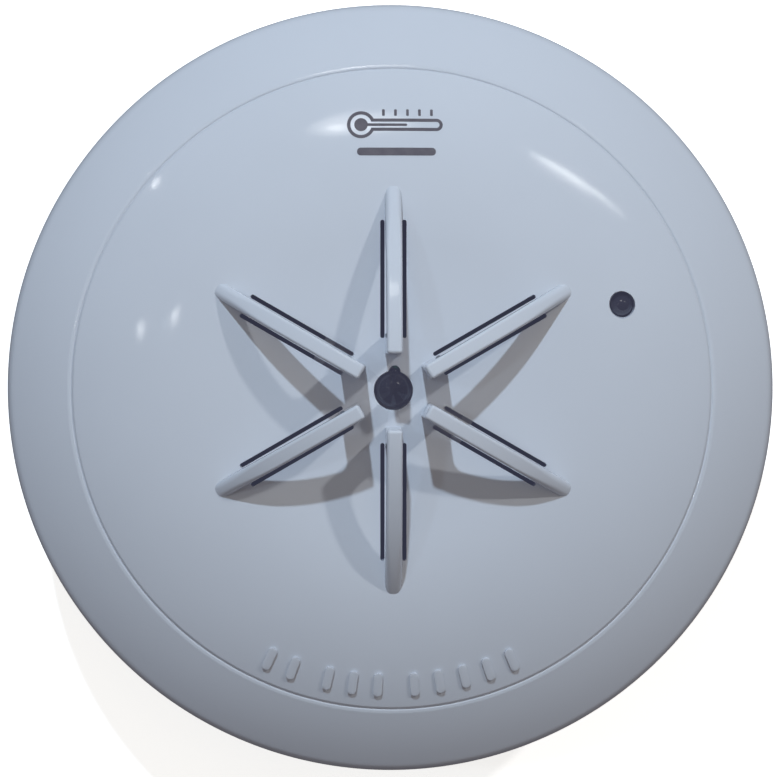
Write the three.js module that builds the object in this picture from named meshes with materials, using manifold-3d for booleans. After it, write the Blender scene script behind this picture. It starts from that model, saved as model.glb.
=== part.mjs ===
// Plug-in electronic heat detector, locked onto its mounting base.
// Millimetres, +Z up. The origin is the centre of the base's back face, which lies against the ceiling.
// +Z runs from there to the tips of the sensor guard, and +Y is the direction of the guard's first fin.
import * as THREE from "three";
import { mergeVertices } from "three/addons/utils/BufferGeometryUtils.js";
import Module from "manifold-3d";

const wasm = await Module();
wasm.setup();

// Driving dimensions
const ROUND = 48; // facets round a large circle
const SMALL_ROUND = 12; // facets round a pin, screw or hole
const FIT = 0.3; // clearance between pieces that touch
const BEYOND = 1; // how far a cutting solid runs past the face that it cuts
const RIM_RADIUS = 50; // widest radius of the head
const TOTAL_HEIGHT = 43; // back face to the tips of the fins
const BASE_HEIGHT = 9.3;
const BASE_FLOOR = 2.2;
const HEAD_BACK = 9.9; // the head's lowest edge, above a shadow gap

// Domed front: a flat middle that rolls off along one arc to the rim
const DOME_TOP = 33.4;
const DOME_FLAT_RADIUS = 18.7;
const DOME_ARC = 51.2;
const RIM_ARC = 2.8;
const COVER_WALL = 1.8;
const COVER_RADIUS = 40.4;
const RING_WALL = 2;
const LEDGE_TOP = 25.6; // the ring's ledge, which carries the cover's foot
const FOOT_INNER = 38.3;

// Sensor guard, whose fins are arches, and air slots
const FIN_COUNT = 6;
const FIN_INNER = 4.5;
const FIN_OUTER = 25.3;
const FIN_THICKNESS = 2.1;
const FIN_ARC = 39; // radius of a fin's top edge
const FIN_DEPTH = 1.6; // of the bar along a fin's top
const POST_OUTER = 7; // far side of the upright at a fin's inner end
const SLOT_INNER = 6.5;
const SLOT_OUTER = 21.1;
const SLOT_WIDTH = 0.52;
const SLOT_OFFSET = 1.1; // from the fin's middle plane to the slot's near side
const HUB_HOLE = 2.45; // radius of the hole that the sensor bead sits in
const HUB_NOTCH = 0.7; // radius of the notch in the hub hole's edge, at 12 o'clock

// Indicator lamp
const LAMP_RADIUS = 30.6; // distance from the axis
const LAMP_ANGLE = 20.5; // degrees from +X
const LAMP_HOLE = 1.7;

// Rear housing and circuit board
const PLATE_BOTTOM = 10.2;
const PLATE_TOP = 12;
const BOARD_RADIUS = 42.5;
const BOARD_BOTTOM = 15.9;
const BOARD_TOP = 17.5;
const STAND = BOARD_TOP + FIT; // where the pieces that stand on the board begin
const SCREW_HOLE = 1.8; // clearance hole of an M3 screw
const CASE_SCREW_RADIUS = 30; // distance from the axis
const CASE_SCREW_ANGLES = [90, 210, 330];

// Plug-in contacts, four alike. Each is laid out with X outward, Y counter-clockwise and Z up.
const CONTACT_ANGLES = [45, 135, 225, 315];
const TERMINAL_X = 27; // the base's terminal screw
const BLADE_SCREW = [38.5, 9]; // the screw that holds the head's blade
const CLIP_BOTTOM = 4.5;
const CLIP_SHEET = 0.6;
const BLADE_BOTTOM = 5.45;
const BLADE_SHEET = 1;

const plastic = (color) => new THREE.MeshStandardMaterial({ color, roughness: 0.32, metalness: 0 });
const metal = (color) => new THREE.MeshStandardMaterial({ color, roughness: 0.35, metalness: 1 });
const WHITE = 0xe6e8ea;
const BACK_WHITE = 0xdcdcd8;
const BOARD_GREEN = 0x1f5a33;
const BLACK = 0x17181c;
const LENS_TINT = 0x2a1216;
const RESISTOR_TAN = 0xc9ae84;
const CERAMIC_ORANGE = 0xb8702c;
const BRASS = 0xc9a24e;
const NICKEL = 0xb9bab6;
const STEEL = 0xa9adb2;

const detector = new THREE.Group();
const base = new THREE.Group();
const head = new THREE.Group();
detector.add(base, head);

// A place offset by x, y, z and then turned about the Z axis.
const place = (degrees, x = 0, y = 0, z = 0) =>
  new THREE.Matrix4()
    .makeRotationZ(THREE.MathUtils.degToRad(degrees))
    .multiply(new THREE.Matrix4().makeTranslation(x, y, z));
const ORIGIN = place(0);
const caseScrewPlaces = CASE_SCREW_ANGLES.map((angle) => place(angle, CASE_SCREW_RADIUS));
const bladeScrewPlaces = CONTACT_ANGLES.map((angle) => place(angle, ...BLADE_SCREW));

// A group whose pieces are laid out in its own frame.
function groupAt(matrix, parent) {
  const group = new THREE.Group();
  group.applyMatrix4(matrix);
  parent.add(group);
  return group;
}

// A closed three.js geometry as a manifold-3d solid.
function solid(geometry, matrix = ORIGIN) {
  const bare = geometry.clone().applyMatrix4(matrix);
  bare.deleteAttribute("normal");
  bare.deleteAttribute("uv");
  const merged = mergeVertices(bare, 1e-4);
  return new wasm.Manifold(
    new wasm.Mesh({
      numProp: 3,
      vertProperties: new Float32Array(merged.attributes.position.array),
      triVerts: new Uint32Array(merged.index.array),
    }),
  );
}

// Adds one named piece to a group.
function addPiece(group, name, shape, material) {
  const { vertProperties, triVerts } = shape.getMesh();
  const geometry = new THREE.BufferGeometry()
    .setAttribute("position", new THREE.BufferAttribute(new Float32Array(vertProperties), 3))
    .setIndex(new THREE.BufferAttribute(new Uint32Array(triVerts), 1));
  geometry.computeVertexNormals();
  const mesh = new THREE.Mesh(geometry, material);
  mesh.name = name;
  group.add(mesh);
  return mesh;
}

const union = (first, ...others) => others.reduce((all, one) => all.add(one), first);
const cut = (first, ...others) => others.reduce((rest, one) => rest.subtract(one), first);

// A solid of revolution about Z. Its [radius, z] outline runs counter-clockwise and closes itself.
function revolve(outline, facets = ROUND) {
  const closed = [...outline, outline[0]].map(([r, z]) => new THREE.Vector2(r, z));
  return solid(new THREE.LatheGeometry(closed, facets).rotateX(Math.PI / 2));
}

const cylinder = (radius, bottom, top, matrix = ORIGIN, facets = SMALL_ROUND) =>
  solid(
    new THREE.CylinderGeometry(radius, radius, top - bottom, facets)
      .rotateX(Math.PI / 2)
      .translate(0, 0, (top + bottom) / 2),
    matrix,
  );

const tube = (outer, inner, bottom, top) =>
  cylinder(outer, bottom, top).subtract(cylinder(inner, bottom - BEYOND, top + BEYOND));

// A block between two corners.
function block([x0, y0, z0], [x1, y1, z1], matrix = ORIGIN) {
  const geometry = new THREE.BoxGeometry(x1 - x0, y1 - y0, z1 - z0);
  return solid(geometry.translate((x0 + x1) / 2, (y0 + y1) / 2, (z0 + z1) / 2), matrix);
}

const prism = (section, depth) =>
  new THREE.ExtrudeGeometry(new THREE.Shape(section.map(([x, y]) => new THREE.Vector2(x, y))), {
    depth,
    bevelEnabled: false,
  });

// A prism along X whose section is a polygon of [y, z] points.
const prismAlongX = (section, x0, x1) =>
  solid(
    prism(section, x1 - x0)
      .rotateY(Math.PI / 2)
      .rotateX(Math.PI / 2)
      .translate(x0, 0, 0),
  );

// A prism centred on Y = 0 whose section is a polygon of [x, z] points.
const prismAcrossY = (section, thickness, matrix) =>
  solid(
    prism(section, thickness)
      .rotateX(Math.PI / 2)
      .translate(0, thickness / 2, 0),
    matrix,
  );

// Points along an arc in a section, from one angle to another.
const arc = ([x, z], radius, from, to, steps) =>
  Array.from({ length: steps + 1 }, (_, i) => {
    const angle = from + ((to - from) * i) / steps;
    return [x + radius * Math.cos(angle), z + radius * Math.sin(angle)];
  });

// The dome's arc between two distances from the axis, on its surface or a depth below it.
function domeArc(from, to, depth, steps) {
  const radius = DOME_ARC - depth;
  const angleAt = (r) => Math.acos((r - DOME_FLAT_RADIUS) / radius);
  return arc([DOME_FLAT_RADIUS, DOME_TOP - DOME_ARC], radius, angleAt(from), angleAt(to), steps);
}

// Fixed base: a shallow tray with a cable hole, four fixing slots and four terminal pads.
function makeBase() {
  const wall = { outer: 48.8, inner: 46.4, draft: 0.4 };
  const collar = { outer: 13, inner: 11, top: 4.5 };
  const slot = { inner: 25, outer: 35, halfWidth: 2.5, angles: [0, 90, 180, 270] };
  const pad = { inner: 22, outer: 43, halfWidth: 6.5, top: CLIP_BOTTOM - FIT };
  const tray = revolve([
    [collar.inner, 0],
    [wall.outer, 0],
    [wall.outer - wall.draft, BASE_HEIGHT],
    [wall.inner, BASE_HEIGHT],
    [wall.inner, BASE_FLOOR],
    [collar.outer, BASE_FLOOR],
    [collar.outer, collar.top],
    [collar.inner, collar.top],
  ]);
  const buried = BASE_FLOOR / 2;
  const pads = CONTACT_ANGLES.map((angle) =>
    block([pad.inner, -pad.halfWidth, buried], [pad.outer, pad.halfWidth, pad.top], place(angle)),
  );
  const screwHoles = CONTACT_ANGLES.map((angle) =>
    cylinder(SCREW_HOLE, buried, pad.top + BEYOND, place(angle, TERMINAL_X)),
  );
  const slots = slot.angles.flatMap((angle) => [
    block([slot.inner, -slot.halfWidth, -BEYOND], [slot.outer, slot.halfWidth, 2 * BASE_FLOOR], place(angle)),
    ...[slot.inner, slot.outer].map((x) =>
      cylinder(slot.halfWidth, -BEYOND, 2 * BASE_FLOOR, place(angle, x)),
    ),
  ]);
  addPiece(base, "base_plate", cut(union(tray, ...pads), ...screwHoles, ...slots), plastic(BACK_WHITE));
}

// One spring clip of the base, with its clamp washer and terminal screw.
function makeTerminal(group, number) {
  const jaw = { inner: 34.5, outer: 42, back: -5.6, mouth: 2.4, lip: 3.4, flare: 0.5, top: 7.4 };
  const halfWidth = 4;
  const sheetTop = CLIP_BOTTOM + CLIP_SHEET;
  const jawUnderside = jaw.top - CLIP_SHEET;
  const jawSection = [
    [jaw.back, CLIP_BOTTOM],
    [halfWidth, CLIP_BOTTOM],
    [halfWidth, sheetTop],
    [jaw.back + CLIP_SHEET, sheetTop],
    [jaw.back + CLIP_SHEET, jawUnderside],
    [jaw.mouth, jawUnderside],
    [jaw.lip, jawUnderside + jaw.flare],
    [jaw.lip, jaw.top + jaw.flare],
    [jaw.mouth, jaw.top],
    [jaw.back, jaw.top],
  ];
  const onScrew = place(0, TERMINAL_X);
  const strip = block(
    [TERMINAL_X - halfWidth, -halfWidth, CLIP_BOTTOM],
    [jaw.inner + CLIP_SHEET, halfWidth, sheetTop],
  );
  const screwHole = cylinder(SCREW_HOLE, CLIP_BOTTOM - BEYOND, jaw.top, onScrew);
  const clip = union(strip, prismAlongX(jawSection, jaw.inner, jaw.outer)).subtract(screwHole);
  addPiece(group, `contact_clip_${number}`, clip, metal(NICKEL));

  const washer = { halfWidth: 3.4, bottom: sheetTop + FIT, top: sheetTop + FIT + 0.8 };
  const plate = block(
    [-washer.halfWidth, -washer.halfWidth, washer.bottom],
    [washer.halfWidth, washer.halfWidth, washer.top],
    onScrew,
  );
  addPiece(group, `clamp_washer_${number}`, plate.subtract(screwHole), metal(NICKEL));

  const screw = { head: 3, bottom: washer.top + FIT, top: washer.top + FIT + 1.6, shank: 1.5, tip: 2 };
  const driver = { halfWidth: 0.4, depth: 0.8 };
  const body = union(
    cylinder(screw.head, screw.bottom, screw.top, onScrew),
    cylinder(screw.shank, screw.tip, screw.bottom + FIT, onScrew),
  );
  const driverSlot = block(
    [-screw.head - BEYOND, -driver.halfWidth, screw.top - driver.depth],
    [screw.head + BEYOND, driver.halfWidth, screw.top + BEYOND],
    onScrew,
  );
  addPiece(group, `terminal_screw_${number}`, body.subtract(driverSlot), metal(BRASS));
}

// One plug-in blade of the head, with the screw and nut that clamp it to the plate and the board.
function makeBlade(group, number) {
  const foot = { start: -4.4, inner: 36, outer: 41 };
  const leg = { start: 3.9, end: 3.9 + BLADE_SHEET };
  const tab = { bottom: HEAD_BACK - BLADE_SHEET, end: 13 };
  const section = [
    [foot.start, BLADE_BOTTOM],
    [leg.end, BLADE_BOTTOM],
    [leg.end, tab.bottom],
    [tab.end, tab.bottom],
    [tab.end, HEAD_BACK],
    [leg.start, HEAD_BACK],
    [leg.start, BLADE_BOTTOM + BLADE_SHEET],
    [foot.start, BLADE_BOTTOM + BLADE_SHEET],
  ];
  const onScrew = place(0, ...BLADE_SCREW);
  const screwHole = cylinder(SCREW_HOLE, tab.bottom - BEYOND, HEAD_BACK + BEYOND, onScrew);
  const blade = prismAlongX(section, foot.inner, foot.outer).subtract(screwHole);
  addPiece(group, `contact_blade_${number}`, blade, metal(NICKEL));

  const screw = { head: 2.6, bottom: tab.bottom - FIT - 1.5, top: tab.bottom - FIT, shank: 1.45, tip: 20.4 };
  const driver = { halfWidth: 0.35, depth: 0.7 };
  const body = union(
    cylinder(screw.head, screw.bottom, screw.top, onScrew),
    cylinder(screw.shank, screw.top - FIT, screw.tip, onScrew),
  );
  const driverSlot = block(
    [-screw.head - BEYOND, -driver.halfWidth, screw.bottom - BEYOND],
    [screw.head + BEYOND, driver.halfWidth, screw.bottom + driver.depth],
    onScrew,
  );
  addPiece(group, `contact_screw_${number}`, body.subtract(driverSlot), metal(STEEL));

  const nut = { radius: 3, top: STAND + 2.2 };
  const hexagon = cylinder(nut.radius, STAND, nut.top, onScrew, 6);
  const nutHole = cylinder(SCREW_HOLE, STAND - BEYOND, nut.top + BEYOND, onScrew);
  addPiece(group, `contact_nut_${number}`, hexagon.subtract(nutHole), metal(BRASS));
}

// Back of the head: a plate with a wall inside the ring and screw standoffs.
function makeRearHousing() {
  const plateRadius = 47.2;
  const wall = { outer: 45.2, inner: 43.6, top: 16.5 };
  const standoff = { case: 4.4, contact: 3.4, top: BOARD_BOTTOM - FIT };
  const recess = { radius: 3.2, top: PLATE_TOP + 0.8 };
  const plate = revolve([
    [0, PLATE_BOTTOM],
    [plateRadius, PLATE_BOTTOM],
    [plateRadius, PLATE_TOP],
    [wall.outer, PLATE_TOP],
    [wall.outer, wall.top],
    [wall.inner, wall.top],
    [wall.inner, PLATE_TOP],
    [0, PLATE_TOP],
  ]);
  const buried = (PLATE_BOTTOM + PLATE_TOP) / 2;
  const standoffs = [
    ...caseScrewPlaces.map((at) => cylinder(standoff.case, buried, standoff.top, at)),
    ...bladeScrewPlaces.map((at) => cylinder(standoff.contact, buried, standoff.top, at)),
  ];
  const holes = [...caseScrewPlaces, ...bladeScrewPlaces].map((at) =>
    cylinder(SCREW_HOLE, PLATE_BOTTOM - BEYOND, standoff.top + BEYOND, at),
  );
  const recesses = caseScrewPlaces.map((at) =>
    cylinder(recess.radius, PLATE_BOTTOM - BEYOND, recess.top, at),
  );
  const housing = cut(union(plate, ...standoffs), ...holes, ...recesses);
  addPiece(head, "rear_housing", housing, plastic(BACK_WHITE));
}

// Circuit board with its screw holes.
function makeBoard() {
  const disc = cylinder(BOARD_RADIUS, BOARD_BOTTOM, BOARD_TOP, ORIGIN, ROUND);
  const holes = [...caseScrewPlaces, ...bladeScrewPlaces].map((at) =>
    cylinder(SCREW_HOLE, BOARD_BOTTOM - BEYOND, BOARD_TOP + BEYOND, at),
  );
  addPiece(head, "circuit_board", cut(disc, ...holes), plastic(BOARD_GREEN));
}

// Outer ring: the head's skirt and rim, up to the lip and ledge that take the front cover.
function makeOuterRing() {
  const skirt = { inner: 47.5, draft: 0.6 };
  const shoulder = { inner: 45.6, bottom: 12.3, top: 13.8 };
  const mouth = { radius: COVER_RADIUS + FIT, chamfer: 0.5 };
  const ledgeBottom = LEDGE_TOP - 1.5;
  const hollow = { inner: 42.7, outer: 47, top: 47.9 };
  // The rim's arc is tangent to the dome's arc and to the upright rim.
  const centreRadius = RIM_RADIUS - RIM_ARC;
  const tangent = Math.acos((centreRadius - DOME_FLAT_RADIUS) / (DOME_ARC - RIM_ARC));
  const centreHeight = DOME_TOP - DOME_ARC + (DOME_ARC - RIM_ARC) * Math.sin(tangent);
  const rimEnd = DOME_FLAT_RADIUS + DOME_ARC * Math.cos(tangent);
  const face = domeArc(rimEnd, mouth.radius + mouth.chamfer, 0, 4);
  const [, faceTop] = face.at(-1);
  const ring = revolve([
    [skirt.inner, HEAD_BACK],
    [RIM_RADIUS - skirt.draft, HEAD_BACK],
    ...arc([centreRadius, centreHeight], RIM_ARC, 0, tangent, 3),
    ...face.slice(1),
    [mouth.radius, faceTop - mouth.chamfer],
    [mouth.radius, LEDGE_TOP],
    [FOOT_INNER, LEDGE_TOP],
    [FOOT_INNER, ledgeBottom],
    ...domeArc(hollow.inner, hollow.outer, RING_WALL, 2),
    [hollow.top, shoulder.top],
    [shoulder.inner, shoulder.top],
    [shoulder.inner, shoulder.bottom],
    [skirt.inner, shoulder.bottom],
  ]);
  addPiece(head, "outer_ring", ring, plastic(WHITE));
}

// Section of a guard fin: an upright beside the sensor, and a curved bar from its top down to the dome.
function finSection() {
  const buried = DOME_TOP - COVER_WALL / 2;
  const tip = [FIN_INNER, TOTAL_HEIGHT];
  const end = domeArc(FIN_OUTER, FIN_OUTER, 0, 1)[0];
  const [dx, dz] = [end[0] - tip[0], end[1] - tip[1]];
  const chord = Math.hypot(dx, dz);
  const back = Math.sqrt(FIN_ARC ** 2 - (chord / 2) ** 2) / chord;
  const centre = [(tip[0] + end[0]) / 2 + back * dz, (tip[1] + end[1]) / 2 - back * dx];
  const angleOf = ([x, z]) => Math.atan2(z - centre[1], x - centre[0]);
  const underRadius = FIN_ARC - FIN_DEPTH;
  const underFrom = Math.asin((buried - centre[1]) / underRadius);
  const underTo = Math.acos((POST_OUTER - centre[0]) / underRadius);
  return [
    [FIN_INNER, buried],
    ...arc(centre, FIN_ARC, angleOf(tip), angleOf(end), 7),
    [FIN_OUTER, buried],
    ...arc(centre, underRadius, underFrom, underTo, 6),
    [POST_OUTER, buried],
  ];
}

// Front cover: the dome, its guard fins and air slots, the lamp hole and three screw bosses.
function makeFrontCover() {
  const footBottom = LEDGE_TOP + FIT;
  const underside = DOME_TOP - COVER_WALL;
  const boss = { radius: 3, top: 31.1, holeTop: 24.5 };
  const shell = revolve([
    [HUB_HOLE, underside],
    ...domeArc(DOME_FLAT_RADIUS, FOOT_INNER, COVER_WALL, 5),
    [FOOT_INNER, footBottom],
    [COVER_RADIUS, footBottom],
    ...domeArc(COVER_RADIUS, DOME_FLAT_RADIUS, 0, 5),
    [HUB_HOLE, DOME_TOP],
  ]);
  const finPlaces = Array.from({ length: FIN_COUNT }, (_, i) => place(90 + (i * 360) / FIN_COUNT));
  const fins = finPlaces.map((at) => prismAcrossY(finSection(), FIN_THICKNESS, at));
  const slots = finPlaces.flatMap((at) =>
    [SLOT_OFFSET, -SLOT_OFFSET - SLOT_WIDTH].map((side) =>
      block(
        [SLOT_INNER, side, underside - BEYOND],
        [SLOT_OUTER, side + SLOT_WIDTH, DOME_TOP + BEYOND],
        at,
      ),
    ),
  );
  const bosses = caseScrewPlaces.map((at) => cylinder(boss.radius, STAND, boss.top, at));
  const bossHoles = caseScrewPlaces.map((at) => cylinder(SCREW_HOLE, STAND - BEYOND, boss.holeTop, at));
  const lampHole = cylinder(
    LAMP_HOLE,
    LEDGE_TOP,
    DOME_TOP + BEYOND,
    place(LAMP_ANGLE, LAMP_RADIUS),
    16,
  );
  const hubNotch = cylinder(HUB_NOTCH, underside - BEYOND, DOME_TOP + BEYOND, place(90, HUB_HOLE));
  const cover = cut(union(shell, ...fins, ...bosses), ...slots, ...bossHoles, lampHole, hubNotch);
  addPiece(head, "front_cover", cover, plastic(WHITE));
}

// A case screw: from the back, through the rear housing and the board, into one of the cover's bosses.
function makeCaseScrew(group, number) {
  const screw = { head: 2.7, bottom: PLATE_BOTTOM + 0.5, top: PLATE_TOP + 0.5, shank: 1.4, tip: 23.5 };
  const cross = { halfLength: 1.6, halfWidth: 0.35, depth: 0.9 };
  const body = union(
    cylinder(screw.head, screw.bottom, screw.top),
    cylinder(screw.shank, screw.top - FIT, screw.tip),
  );
  const [low, high] = [screw.bottom - BEYOND, screw.bottom + cross.depth];
  const recess = union(
    block([-cross.halfLength, -cross.halfWidth, low], [cross.halfLength, cross.halfWidth, high]),
    block([-cross.halfWidth, -cross.halfLength, low], [cross.halfWidth, cross.halfLength, high]),
  );
  addPiece(group, `case_screw_${number}`, body.subtract(recess), metal(STEEL));
}

// Sensor: an epoxy bead on two leads, sunk in the hub hole over the seat of a bridge under the hub.
function makeSensor() {
  const bead = { halfX: 2.2, halfY: 2.25, halfZ: 1.9, y: 0.1, height: 32.6 };
  const nib = { radius: 0.42, length: 1, reach: 1.75, elevation: 4 };
  const lead = { spread: 0.6, radius: 0.25 };
  const bridge = { angle: 150, halfWidth: 2.5, bottom: 28.4, top: 29.9 };
  const pad = { inner: 9.1, outer: 10.6, top: DOME_TOP - COVER_WALL - FIT };
  const seat = { radius: 2, bore: 1.2, top: bead.height - bead.halfZ - FIT };

  const ball = new THREE.SphereGeometry(1, 14, 10)
    .rotateX(Math.PI / 2)
    .scale(bead.halfX, bead.halfY, bead.halfZ)
    .translate(0, bead.y, 0);
  const nibShape = new THREE.CapsuleGeometry(nib.radius, nib.length, 3, 10)
    .translate(0, nib.reach, 0)
    .rotateX(THREE.MathUtils.degToRad(nib.elevation));
  const drop = union(solid(ball), solid(nibShape));
  addPiece(head, "thermistor_bead", drop, plastic(BLACK)).position.z = bead.height;

  const leadTop = bead.height - bead.halfZ - FIT;
  [-lead.spread, lead.spread].forEach((x, i) => {
    const wire = addPiece(
      head,
      `thermistor_lead_${i + 1}`,
      cylinder(lead.radius, STAND, leadTop, ORIGIN, 8),
      metal(NICKEL),
    );
    wire.position.x = x;
  });

  const bar = block(
    [-pad.outer, -bridge.halfWidth, bridge.bottom],
    [pad.outer, bridge.halfWidth, bridge.top],
  );
  const pads = [-pad.outer, pad.inner].map((x) =>
    block(
      [x, -bridge.halfWidth, bridge.bottom],
      [x + pad.outer - pad.inner, bridge.halfWidth, pad.top],
    ),
  );
  const body = union(bar, ...pads, cylinder(seat.radius, bridge.bottom, seat.top));
  const bore = cylinder(seat.bore, bridge.bottom - BEYOND, seat.top + BEYOND);
  const bridgeGroup = groupAt(place(bridge.angle), head);
  addPiece(bridgeGroup, "thermistor_holder", body.subtract(bore), plastic(BACK_WHITE));
}

// Indicator lamp on two legs, held up to the cover by a spacer tube.
function makeLamp(group) {
  const lens = { radius: 1.4, flange: 1.9, bottom: 25.8, flangeTop: 26.8, top: 31.8 };
  const spacer = { outer: 2.1, inner: 1.2, top: lens.bottom - FIT };
  const leg = { spread: 0.55, radius: 0.25 };
  const domeCentre = [0, lens.top - lens.radius];
  const shape = revolve(
    [
      [0, lens.bottom],
      [lens.flange, lens.bottom],
      [lens.flange, lens.flangeTop],
      [lens.radius, lens.flangeTop],
      ...arc(domeCentre, lens.radius, 0, Math.PI / 2, 3).slice(0, -1),
      [0, lens.top],
    ],
    SMALL_ROUND,
  );
  addPiece(group, "indicator_lens", shape, plastic(LENS_TINT));
  addPiece(group, "indicator_spacer", tube(spacer.outer, spacer.inner, STAND, spacer.top), plastic(WHITE));
  [-leg.spread, leg.spread].forEach((x, i) => {
    const wire = cylinder(leg.radius, STAND, spacer.top, ORIGIN, 8);
    addPiece(group, `indicator_leg_${i + 1}`, wire, metal(NICKEL)).position.x = x;
  });
}

// The rest of the circuit, standing on the board.
function makeElectronics(group) {
  const can = cylinder(3.15, 0, 7, ORIGIN, 16);
  addPiece(group, "electrolytic_capacitor", can, plastic(BLACK)).position.set(-15, 8, 0);
  const chip = block([-4.5, -2, 0], [4.5, 2, 1.6]);
  addPiece(group, "comparator_chip", chip, plastic(BLACK)).position.set(12.5, -13, 0);
  const rectifier = block([-3.5, -2.5, 0], [3.5, 2.5, 2.6]);
  addPiece(group, "bridge_rectifier", rectifier, plastic(BLACK)).position.set(-22.5, -3.5, 0);

  const transistorHeight = 4.8;
  const transistorSection = [
    [-2.2, -1],
    [2.2, -1],
    [2.2, 0.4],
    [1.3, 1.9],
    [-1.3, 1.9],
    [-2.2, 0.4],
  ];
  [
    [14, 4],
    [3, 18],
  ].forEach(([x, y], i) => {
    const body = solid(prism(transistorSection, transistorHeight));
    addPiece(group, `transistor_${i + 1}`, body, plastic(BLACK)).position.set(x, y, 0);
  });

  const disc = { radius: 2.4, thickness: 2 };
  [
    [-6, -19],
    [22, -6],
  ].forEach(([x, y], i) => {
    const body = solid(new THREE.CylinderGeometry(disc.radius, disc.radius, disc.thickness, SMALL_ROUND));
    addPiece(group, `ceramic_capacitor_${i + 1}`, body, plastic(CERAMIC_ORANGE)).position.set(
      x,
      y,
      disc.radius,
    );
  });

  const resistor = { radius: 0.95, length: 6, pitch: 4, first: [-22, 22] };
  for (let i = 0; i < 4; i++) {
    const body = solid(new THREE.CylinderGeometry(resistor.radius, resistor.radius, resistor.length, 10));
    addPiece(group, `resistor_${i + 1}`, body, plastic(RESISTOR_TAN)).position.set(
      resistor.first[0] + resistor.pitch * i,
      resistor.first[1],
      resistor.radius,
    );
  }
}

makeBase();
makeRearHousing();
makeOuterRing();
makeFrontCover();
makeBoard();
makeSensor();
makeLamp(groupAt(place(LAMP_ANGLE, LAMP_RADIUS), head));
makeElectronics(groupAt(place(0, 0, 0, STAND), head));
CONTACT_ANGLES.forEach((angle, i) => {
  makeTerminal(groupAt(place(angle), base), i + 1);
  makeBlade(groupAt(place(angle), head), i + 1);
});
caseScrewPlaces.forEach((at, i) => makeCaseScrew(groupAt(at, head), i + 1));

export default detector;
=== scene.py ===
import math

import bmesh
import bpy
from mathutils import Matrix, Vector


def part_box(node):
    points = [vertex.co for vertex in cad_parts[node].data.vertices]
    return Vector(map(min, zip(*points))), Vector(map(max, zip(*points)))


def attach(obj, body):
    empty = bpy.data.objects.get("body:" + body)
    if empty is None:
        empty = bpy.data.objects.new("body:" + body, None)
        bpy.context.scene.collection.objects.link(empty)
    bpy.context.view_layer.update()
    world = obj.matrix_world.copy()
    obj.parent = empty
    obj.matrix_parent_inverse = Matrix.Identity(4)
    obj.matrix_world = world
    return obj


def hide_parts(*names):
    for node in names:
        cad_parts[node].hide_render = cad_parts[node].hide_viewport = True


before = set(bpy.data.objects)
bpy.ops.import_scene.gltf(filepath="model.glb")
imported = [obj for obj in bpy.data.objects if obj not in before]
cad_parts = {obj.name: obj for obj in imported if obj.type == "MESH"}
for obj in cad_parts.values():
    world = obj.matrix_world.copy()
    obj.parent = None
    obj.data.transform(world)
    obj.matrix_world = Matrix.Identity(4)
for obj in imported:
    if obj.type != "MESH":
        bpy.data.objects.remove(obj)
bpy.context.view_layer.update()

MM = 0.001
TINY = 1e-6
ROUND = 288  # facets round the head
SCREW_HOLE = 1.8  # clearance hole of an M3 screw

# Dome of the head, as in the CAD: a flat middle that rolls off along one arc to the rim
DOME_TOP = 33.4
DOME_FLAT = 18.7
DOME_ARC = 51.2
RIM_RADIUS = 50.0
RIM_ARC = 2.8
COVER_WALL = 1.8
RING_WALL = 2.0
LEDGE_TOP = 25.6  # the ring's ledge, which carries the cover's foot
FOOT_INNER = 38.3
COVER_RADIUS = 40.52
RING_MOUTH = 40.55
SEAM_DEPTH = 0.11

# Guard fins: arches with an upright by the hub and a window over the dome
FIN_ANGLES = [90 + 60 * i for i in range(6)]
FIN_TIP = 43.0
FIN_INNER = 4.5
FIN_OUTER = 25.3
FIN_ARC = 39.0
FIN_DEPTH = 1.6
FIN_FOOT = 31.5  # where an arch ends, inside the cover's wall
POST_OUTER = 7.0
POST_FOOT = 31.9
FIN_ROOT_HALF = 1.05
FIN_TOP_HALF = 0.93

# Air slots beside the fins
SLOT_NEAR = 1.1
SLOT_FAR = 1.62
SLOT_INNER = 6.5
SLOT_OUTER = 21.1

# Blank raised bars near the cover's edge
BAR_INNER = 35.65
BAR_OUTER = 38.75
BAR_HALF = 0.55
BAR_LIFT = 0.34
MARK_CENTRE = (0.4, 33.1)

HUB_HOLE = 2.42
HUB_NOTCH = 0.66
BEAD_CENTRE = Vector((0.0, 0.1, 32.6))
BEAD_HALF = Vector((2.2, 2.25, 1.9))
HOLDER_ANGLE = 150

# Screws that pass through the rear housing and the board, with the radius of each one's standoff
BOARD_SCREWS = [(f"case_screw_{i}", 4.4) for i in (1, 2, 3)]
BOARD_SCREWS += [(f"contact_screw_{i}", 3.4) for i in (1, 2, 3, 4)]

CONTACT_ANGLES = [45, 135, 225, 315]
TERMINAL_X = 27.0  # the base's terminal screw
BLADE_SCREW = (38.5, 9.0)
BOARD_RADIUS = 42.5
BOARD_BOTTOM = 15.9
BOARD_TOP = 17.5
RESISTOR_HALF = 3.0
LAMP_ANGLE = 20.5
LAMP_RADIUS = 30.6

CUT = (22.0, 36.0)  # heights between which the cover is cut through
TALL = (20.0, 40.0)  # heights that span the whole of the dome's slope


# ---------------------------------------------------------------- mesh helpers


def place(degrees, x=0.0, y=0.0, z=0.0):
    """A place offset by x, y, z millimetres and then turned about the Z axis."""
    turn = Matrix.Rotation(math.radians(degrees), 4, "Z")
    return turn @ Matrix.Translation(Vector((x, y, z)) * MM)


def over(point, height=0.0):
    """A place at a height over a point, in millimetres."""
    return Matrix.Translation(Vector((point.x, point.y, height)) * MM)


def box_mm(node):
    """Lowest corner, highest corner and centre of a CAD node, in millimetres."""
    low, high = (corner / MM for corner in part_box(node))
    return low, high, (low + high) / 2


def centre_of(node):
    return box_mm(node)[2]


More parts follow.
